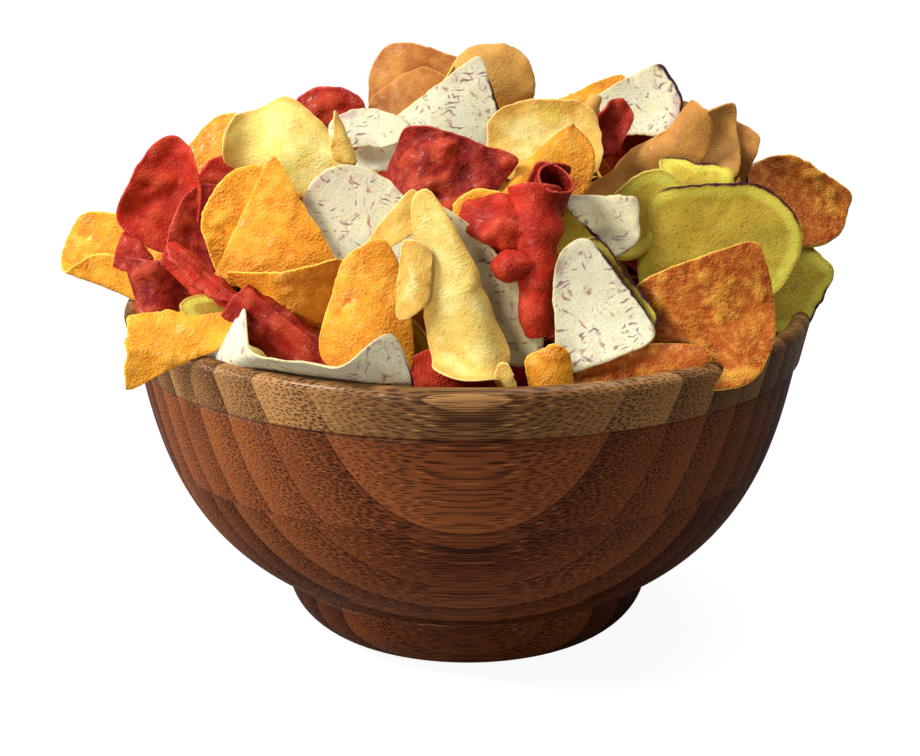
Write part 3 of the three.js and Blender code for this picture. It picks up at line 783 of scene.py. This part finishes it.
chip("beetroot", (-8, -98, 126), (0, 10, 10), oval(26, 16))
chip("sweet_potato", (-101, -6, 144), (-62, 22, 10), oval(56, 42), bend(90, 0, 36, 40))
chip("cassava", (109, 4, 153), (64, 22, -15), oval(58, 44), bend(90, 0, 36, 40))
chip("beetroot", (-84, 20, 166), (-70, 40, 30), oval(46, 36), bend(90, 0, 36, 40))
chip("sweet_potato", (84, 2, 174), (50, 38, 0), oval(46, 34), bend(90, 0, 36, 30))
chip("sweet_potato", (82, -52, 130), (48, 30, 10), oval(54, 38), bend(90, 0, 36, 40))
print("front:", len(slices), "slices so far")

# %% [markdown]
# The back and the sides are laid in rows, from the rim up to the top. Their sizes, turns and
# curls come from a formula that scrambles a slice's number, the same one as in the solid
# model, so these slices lie in the same places there. A lower layer of smaller ones goes all
# the way round and shows in the gaps. Little of it is seen, so its grids are coarser.

# %% The back of the heap
KINDS = ["sweet_potato", "taro", "beetroot", "cassava", "yam", "sweet_potato", "parsnip", "beetroot"]


def pick(k, j, low=0.0, high=1.0):
    """A number between two limits: the fraction of a sine of k and j times a large number."""
    value = np.sin(12.9898 * k + 78.233 * j) * 43758.5453
    return float(low + (high - low) * (value - np.floor(value)))


def curl(way, amount):
    """A slice is rolled, folded, rolled into a cone, or has two of its ends turned up."""
    return [
        [bend(90, 0, 36, 40 + 50 * amount)],
        [bend(90, 0, 12, 70 + 60 * amount)],
        [bend(90, 0, 32, -150, 0.4)],
        [bend(30, 6, 14, 55), bend(215, 6, 14, -45)],
    ][way]


BACK_CELL = 1.4
HIDDEN_CELL = 2.6

k = 0
for row, (count, radius, height, lean) in enumerate(
    [(8, 99, 134, 15), (6, 79, 156, 30), (4, 58, 176, 45), (2, 26, 186, 78)]
):
    for i in range(count):
        k += 1
        bearing = 8 + 164 * (i + 0.5) / count + pick(k, 1, -5, 5)
        r = radius + pick(k, 2, -4, 4)
        middle = (
            r * np.cos(np.radians(bearing)),
            r * np.sin(np.radians(bearing)),
            height + pick(k, 4, -4, 4),
        )
        pose = (bearing + 90 + pick(k, 5, -20, 20), lean + pick(k, 6, -10, 12), 360 * pick(k, 7))
        outline = oval(pick(k, 8, 46, 64), pick(k, 9, 34, 46))
        bends = curl((k + row) % 4, pick(k, 3))
        cup = pick(k, 10, -3, 3)
        chip(KINDS[k % 8], middle, pose, outline, *bends, cell=BACK_CELL, cup=cup, inside=True)
print("with the back:", len(slices), "slices")

# %% The layer below
FRONT_INSET = 0.84  # the layer below keeps back from the front, where the slices stand upright
SUNK_DEPTH = 12
# Slices that are sunk by that many mm, because they would cut through the ones in front.
SUNK = (35, 55, 61, 73, 75, 76, 78, 79, 89, 90, 93, 101, 102, 103, 104, 105, 109, 111, 112, 115)

for count, radius, height, lean in (
    (22, 101, 112, 10), (20, 93, 126, 25), (18, 82, 140, 35), (14, 68, 154, 42),
    (11, 52, 168, 50), (7, 34, 179, 62), (3, 13, 186, 78),
):
    for i in range(count):
        k += 1
        bearing = 360 * (i + pick(k, 1, 0.2, 0.8)) / count
        sine = np.sin(np.radians(bearing))
        down = SUNK_DEPTH if k in SUNK else 0
        r = (radius + pick(k, 2, -4, 4)) * (1 - (1 - FRONT_INSET) * max(-sine, 0) ** 2) - down
        middle = (r * np.cos(np.radians(bearing)), r * sine, height + pick(k, 4, -5, 5) - down)
        tilt = lean + pick(k, 6, -16, 16)
        pose = (bearing + 90 + pick(k, 5, -25, 25), max(tilt, 3 * down), 360 * pick(k, 7))
        outline = oval(pick(k, 8, 42, 60) - down, pick(k, 9, 32, 42) - down)
        bends = curl(k % 4, pick(k, 3))
        cup = pick(k, 10, -3, 3)
        chip(KINDS[k * 3 % 8], middle, pose, outline, *bends, cell=HIDDEN_CELL, cup=cup, inside=True)
print("with the layer below:", len(slices), "slices")

# %% [markdown]
# The slices of the front stand upright, with deep gaps behind them. In the bowl more chips
# lie there, and from above they can be seen. So small slices are strewn between the front
# ones in rows from side to side, nearly flat. A row bends back and down at its two ends, as
# the round heap does.

# %% Between the slices of the front
for count, y, height, width in (
    (6, -71, 122, 62), (7, -53, 135, 70), (7, -34, 147, 72), (6, -14, 158, 72), (5, -84, 110, 66),
):
    for i in range(count):
        k += 1
        x = (2 * (i + pick(k, 1)) / count - 1) * width
        back = y + (x / 15) ** 2 + pick(k, 2, -3, 3)
        middle = (x, back, height - (x / 25) ** 2 + pick(k, 4, -3, 3))
        pose = (pick(k, 5, -40, 40), pick(k, 6, 45, 75), 360 * pick(k, 7))
        outline = oval(pick(k, 8, 34, 48), pick(k, 9, 26, 34))
        bends = curl(k % 2, pick(k, 3))
        chip(KINDS[k * 3 % 8], middle, pose, outline, *bends, cell=HIDDEN_CELL, inside=True)
print("in all:", len(slices), "slices")

# %% [markdown]
# ## What lies under the slices
#
# Through the gaps between the slices the eye meets only shade and more chips. A plain mound closes the
# heap below them, in the dark browns of chips in shade: painted shade. Its lumps keep its edge from
# looking turned.

# %% The heart of the heap
HEART_TOP = 160.0
HEART_EDGE = 96.0
HEART_LOWEST = 92.0
HEART_FLOOR = 80.0
HEART_GAP = 6.0  # mm, from its edge to the wall of the bowl
FRONT_SLOPE = 0.5
FRONT_REACH = 0.92


def heart(rings=40, steps=120):
    """A dome over a disc: its height falls from the top to the edge with the cube of the
    radius, and by half a mm for each mm towards the front, with ripples added. A flat floor
    closes it below. At the front it reaches a little less far."""
    rho = np.linspace(0, 1, rings)[None, :]
    angle = np.linspace(0, 2 * np.pi, steps, endpoint=False)[:, None]
    reach = INNER_RADIUS - HEART_GAP
    x = reach * rho * np.cos(angle)
    y = reach * rho * np.sin(angle) * np.where(np.sin(angle) < 0, FRONT_REACH, 1)
    lumps = 4 * ripples(x / 12, y / 12, np.random.default_rng(4), 3)
    z = HEART_EDGE + (HEART_TOP - HEART_EDGE) * (1 - rho**3) + lumps * (rho > 0)
    z = np.maximum(z - FRONT_SLOPE * np.clip(-y, 0, None), HEART_LOWEST)
    dome = np.stack([x, y, z], -1)
    dome[:, 0] = (0, 0, HEART_TOP)
    floor = dome[:, ::-1] * np.array([0.9, 0.9, 0]) + np.array([0, 0, HEART_FLOOR])
    points = np.concatenate([dome, floor], 1)
    index = np.arange(points.shape[0] * points.shape[1]).reshape(points.shape[:2])
    on = np.roll(index, -1, 0)
    quads = np.stack([index[:, :-1], index[:, 1:], on[:, 1:], on[:, :-1]], -1).reshape(-1, 4)
    return points.reshape(-1, 3), quads


heart_points, heart_quads = heart()
heart_points, heart_faces = drop_axis(heart_points, heart_quads)
print("the heart stands", round(HEART_TOP - HEART_FLOOR), "mm high in the bowl")

# %% [markdown]
# ## Finishes of the chips
#
# All the chips share one recipe. A wide cloud mixes two colours of the flesh, a finer one speckles it,
# the tops of the blisters take a colour that is part toast and part painted highlight, the hollows
# between the small domes and in the sunk blisters get painted shade, and the thin rim is lighter. Each
# slice is also a little lighter or darker than the next. The pattern is drawn on the slice's own flat
# plane, so it bends with the slice.

# %% One recipe for six roots
SKIN = tint("3a1420")


def chip_finish(name, colours, oil, bubbles, extra=None):
    """The colours are light and deep, the flesh of the palest and the darkest slice, toast, which
    speckles the flesh and on the tops of the blisters is part toasting and part painted highlight, and
    rim along the edge. oil tells how much the oily spots shine, and bubbles how rough the frying left
    it, both 0 to 1. extra draws what one root has."""
    f = Finish(name)
    light, deep, toast_and_highlight, rim = (tint(code) for code in colours.split())
    tone, lump, near_rim, peel = (f.attribute(key) for key in ("tone", "lump", "rim", "peel"))
    flat = f.on_slice()
    cloud = f.noise(flat, 0.8, 4, 0.6, 0.4)
    spots = f.noise(flat, 3.2, 4, 0.6)
    crumb = f.noise(flat, 11, 4, 0.65)
    bumpy = f.noise(flat, 1.1, 2).above(0.35, 0.62)
    domes = 1 - f.cells(f.on_slice((7.5, 10, 1), 0.4), 1, "SMOOTH_F1").above(0.1, 0.62)
    grains = 1 - f.cells(f.pushed(flat, 3, 0.12), 17, "SMOOTH_F1").above(0.1, 0.6)
    body = f.mix((tone + (cloud - 0.5) * 0.9).above(0.0, 1.0), light, deep)
    body = f.mix(spots.above(0.4, 0.7) * 0.45, body, toast_and_highlight)
    # Painted shade: darker between the small domes and grains that the bump raises.
    body = f.mix((1 - domes * grains) * 0.35 * bubbles * bumpy, body, deep, "MULTIPLY")
    # Part toast and part painted highlight: the tops of the blisters take the toast colour.
    body = f.mix(lump.above(0.1, 0.9) * 0.45, body, toast_and_highlight)
    # Painted shade in the blisters that are hollows.
    body = f.mix(lump.above(-0.05, -0.8) * 0.4, body, deep, "MULTIPLY")
    body = f.mix(crumb.above(0.55, 0.8) * 0.22, body, rim)
    body = f.mix(crumb.above(0.45, 0.25) * 0.3, body, deep, "MULTIPLY")
    if extra is not None:
        body = extra(f, body, near_rim)
    edge = 1 - near_rim.above(0.0, 0.5)
    body = f.mix(edge * (0.3 + spots * 0.7), body, rim)
    ragged = near_rim + (spots - 0.5) * 2.2
    body = f.mix((1 - ragged.above(0.5, 1.3)) * peel, body, SKIN)
    fried = domes * bumpy * 0.45 * bubbles + grains * 0.3 * bubbles
    relief = fried + spots * 0.4 + crumb * 0.3
    return f.done(
        Base_Color=body,
        Roughness=0.48 + spots * 0.25 - domes * 0.1 * bubbles,
        Normal=f.raised(relief, 0.5),
        Coat_Weight=(spots + domes * 0.3 * bubbles).above(0.5, 0.85) * oil,
        Coat_Roughness=0.28,
        Specular_IOR_Level=0.16,
        Subsurface_Weight=0.15,
        Subsurface_Radius=(0.004, 0.002, 0.001),
        Subsurface_Scale=0.5,
    )


def taro_flecks(f, body, near_rim):
    """Purple and brown fibres, cut across at all angles. Each set is long thin cells on a
    plane that a noise has pushed about, so that they curve, and only in some patches."""
    veil = f.noise(f.on_slice(), 1.1, 3)
    body = f.mix(veil.above(0.5, 0.75) * 0.6, body, tint("d9d8a4"))
    body = f.mix(veil.above(0.45, 0.3) * 0.45, body, tint("c6ccb2"))
    for turn, stretch, reach, colour in (
        (0.3, (0.6, 4.6, 1), (0.14, 0.3), "7c4a5c"),
        (-0.9, (0.9, 3.6, 1), (0.12, 0.28), "a0645a"),
        (1.3, (1.5, 4.6, 1), (0.12, 0.28), "6e3c4a"),
        (2.2, (0.4, 6.0, 1), (0.1, 0.26), "b08890"),
        (0.9, (3.2, 4.4, 1), (0.07, 0.17), "8a4c48"),
    ):
        plane = f.pushed(f.pushed(f.on_slice(), 0.9, 1.1), 4, 0.14)
        inputs = {"Vector": plane, "Scale": tuple(1 / k for k in stretch), "Rotation": (0, 0, turn)}
        plane = f.node("ShaderNodeMapping", {"vector_type": "TEXTURE"}, inputs)
        worn = f.noise(f.on_slice(), 4.5, 2)
        dash = 1 - (f.cells(plane, 1, space="2D") + worn * 0.25 - 0.08).above(*reach)
        patch = f.noise(f.on_slice((1, 1, 1), turn), 1.3, 3).above(0.5, 0.6)
        body = f.mix(dash * patch * 0.8, body, tint(colour))
    blush = f.noise(f.on_slice((1, 2, 1), 0.8), 1.1, 3).above(0.6, 0.8)
    body = f.mix(blush * 0.3, body, tint("b8808c"))
    margin = 1 - (near_rim + veil * 2).above(1.0, 2.6)
    body = f.mix(margin * 0.3, body, tint("c0a870"))
    stain = (1 - near_rim.above(1, 5)) * f.noise(f.on_slice(), 0.6, 3).above(0.54, 0.66)
    return f.mix(stain * 0.55, body, tint("a06a80"))


def parsnip_veins(f, body, near_rim):
    """A pale core, veins that run out from it, a golden margin and a few brown specks."""
    grain = f.noise(f.on_slice(), 2.2, 5, 0.7)
    core = near_rim.above(4, 9) * f.noise(f.on_slice(), 0.9, 3).above(0.42, 0.62)
    body = f.mix(core * 0.5, body, tint("f0e6a0"))
    body = f.mix(grain.above(0.52, 0.72) * 0.5, body, tint("c8a042"))
    green = f.noise(f.on_slice((1, 1, 1), 2.0), 0.7, 3).above(0.55, 0.7)
    body = f.mix(green * 0.5, body, tint("c6c43e"))
    margin = 1 - (near_rim + (grain - 0.5) * 5).above(0.6, 3.4)
    body = f.mix(margin * 0.65, body, tint("d09c48"))
    specks = 1 - f.cells(f.pushed(f.on_slice(), 3, 0.3), 2.1, space="2D").above(0.03, 0.08)
    return f.mix(specks * grain.above(0.5, 0.6) * 0.6, body, tint("8a5a24"))


def yam_stain(f, body, near_rim):
    """A lime ring inside the skin, brown smudges, and small dark dots."""
    smudge = f.noise(f.on_slice(), 1.6, 5, 0.75).above(0.52, 0.7)
    centre = near_rim.above(5, 12)
    body = f.mix(smudge * (0.25 + centre * 0.4), body, tint("8a6a20"))
    dots = 1 - f.cells(f.on_slice(), 3.1, space="2D").above(0.05, 0.11)
    body = f.mix(dots * 0.6, body, tint("5a3a18"))
    ring = near_rim.above(0.8, 2.0) * (1 - near_rim.above(3.5, 6.0))
    return f.mix(ring * 0.5, body, tint("dcdc58"))


FINISHES = {
    "sweet_potato": chip_finish("fried_sweet_potato", "f2a626 b85a1c f0b444 f8c850", 0.5, 1.0),
    "beetroot": chip_finish("fried_beetroot", "bc2816 7e100c c24a24 bc4634", 0.25, 0.9),
    "taro": chip_finish("fried_taro", "d8d6b8 c6bb8c e0dbb8 cdbd88", 0.2, 0.3, taro_flecks),
    "cassava": chip_finish("fried_cassava", "d6a452 98501c c88a3a d6a050", 0.3, 0.4),
    "parsnip": chip_finish("fried_parsnip", "e8d474 d0a446 e6cc70 ecd688", 0.3, 0.5, parsnip_veins),
    "yam": chip_finish("fried_yam", "cab23c a48228 c8aa38 d8cc68", 0.3, 0.35, yam_stain),
}
print("finishes of the chips:", list(FINISHES))

# The heart is painted shade: its dark browns are those of chips that lie in shade.
heart_finish = Finish("packed_chips_painted_shade")
heart_cloud = heart_finish.noise(heart_finish.place((60, 60, 60)), 1, 4)
heart_shade_colour = heart_finish.mix(heart_cloud.above(0.4, 0.6), tint("743a18"), tint("401a0c"))
heart_material = heart_finish.done(Base_Color=heart_shade_colour, Roughness=0.8)

# %% [markdown]
# Slices of one root are joined into one mesh, so the whole heap is six pieces and its heart.

# %% Join the slices of each root
for kind, finish in FINISHES.items():
    same = [rest for its_kind, *rest in slices if its_kind == kind]
    starts = np.cumsum([0] + [len(points) for points, _, _ in same])
    points = np.concatenate([points for points, _, _ in same])
    faces = np.concatenate([faces + start for (_, faces, _), start in zip(same, starts)])
    keys = ("uv", "rim", "lump", "peel", "tone")
    values = {key: np.concatenate([own[key] for _, _, own in same]) for key in keys}
    add_piece(f"{kind}_chips", points, [faces], finish, "chips", "chip_heap", **values)

add_piece("heap_heart", heart_points, heart_faces, heart_material, "chips", "chip_heap")

# %% [markdown]
# ## Camera, light and floor
#
# The bowl stands on a pale floor in soft light. The strongest lamp stands high at the left
# front and models the chips. A weak one at the left side gives the rim its sheen and leaves
# the right in shade, one from above opens the shadows, and a low warm one at the front lights
# the wood under the bowl's curve.

# %% Camera
ELEVATION = np.radians(17.1)
DISTANCE = 1.2
AIM_HEIGHT = 0.06
PITCH_DOWN = np.radians(15.45)
YAW = np.radians(0.136)

camera_data = bpy.data.cameras.new("camera")
camera_data.sensor_width = 36
camera_data.lens = 126.5
camera_data.clip_end = 20
camera = bpy.data.objects.new("camera", camera_data)
camera.location = (0, -DISTANCE * np.cos(ELEVATION), AIM_HEIGHT + DISTANCE * np.sin(ELEVATION))
camera.rotation_euler = (np.pi / 2 - PITCH_DOWN, 0, YAW)
bpy.context.scene.collection.objects.link(camera)
bpy.context.scene.camera = camera
print("camera stands", round(camera.location.length, 3), "m from the bowl")

# %% Lamps


def lamp(name, place, target, size, power, colour=(1, 1, 1)):
    """A square soft lamp that looks at a target."""
    data = bpy.data.lights.new(name, "AREA")
    data.shape = "SQUARE"
    data.size = size
    data.energy = power
    data.color = colour
    made = bpy.data.objects.new(name, data)
    made.location = place
    away = Vector(place) - Vector(target)
    made.rotation_euler = away.to_track_quat("Z", "Y").to_euler()
    bpy.context.scene.collection.objects.link(made)


lamp("key_lamp", (-1.2, -0.75, 1.35), (0, 0, 0.15), 0.5, 40)
lamp("side_lamp", (-1.3, -0.1, 0.35), (0, 0, 0.12), 0.7, 9)
lamp("top_lamp", (0.4, -0.1, 1.4), (0, 0, 0.15), 0.7, 11)
lamp("low_lamp", (-0.55, -1.35, 0.1), (0, 0, 0.04), 0.4, 9, (1, 0.88, 0.78))

world = bpy.data.worlds.new("studio")
world.use_nodes = True
sky = world.node_tree.nodes["Background"]
sky.inputs["Color"].default_value = (1, 1, 1, 1)
seen = world.node_tree.nodes.new("ShaderNodeLightPath").outputs["Is Camera Ray"]
strength = world.node_tree.nodes.new("ShaderNodeMapRange")
strength.inputs["To Min"].default_value = 0.12  # what lights the bowl
strength.inputs["To Max"].default_value = 1.0  # the white backdrop itself
world.node_tree.links.new(seen, strength.inputs["Value"])
world.node_tree.links.new(strength.outputs["Result"], sky.inputs["Strength"])
bpy.context.scene.world = world
bpy.context.scene.view_settings.view_transform = "Standard"
print("lamps:", [light.name for light in bpy.data.lights])

# %% [markdown]
# A white floor would throw so much light at the underside of the bowl that the wood would
# look pale there. So the floor is grey for the light, and glows only for the camera, which
# makes it as white as the backdrop.

# %% Floor
floor_finish = Finish("pale_floor")
to_camera = floor_finish.node("ShaderNodeLightPath", {}, {}, "Is Camera Ray")
floor_glow = floor_finish.mix(to_camera, (0, 0, 0, 1), (0.93, 0.93, 0.93, 1))
floor_material = floor_finish.done(
    Base_Color=tint("6a6a6a"), Roughness=0.9, Emission_Color=floor_glow, Emission_Strength=1.0
)
floor_mesh = bpy.data.meshes.new("floor")
floor_mesh.from_pydata([(-6, -6, 0), (6, -6, 0), (6, 6, 0), (-6, 6, 0)], [], [(0, 1, 2, 3)])
floor_mesh.materials.append(floor_material)
floor = bpy.data.objects.new("floor", floor_mesh)
floor.location.z = -0.0005
bpy.context.scene.collection.objects.link(floor)
floor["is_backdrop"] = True

# %% [markdown]
# ## The size
#
# The boxes of the solid model and of the dressed one are printed. The dressed model has
# to stay as large as the solid one.

# %% Print the boxes
boxes = {"cad": cad_box, "visual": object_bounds()}
sizes = {name: [list(corner) for corner in box] for name, box in boxes.items()}
for name, (low, high) in sizes.items():
    print(name, [round((b - a) * 1000, 1) for a, b in zip(low, high)], "mm")
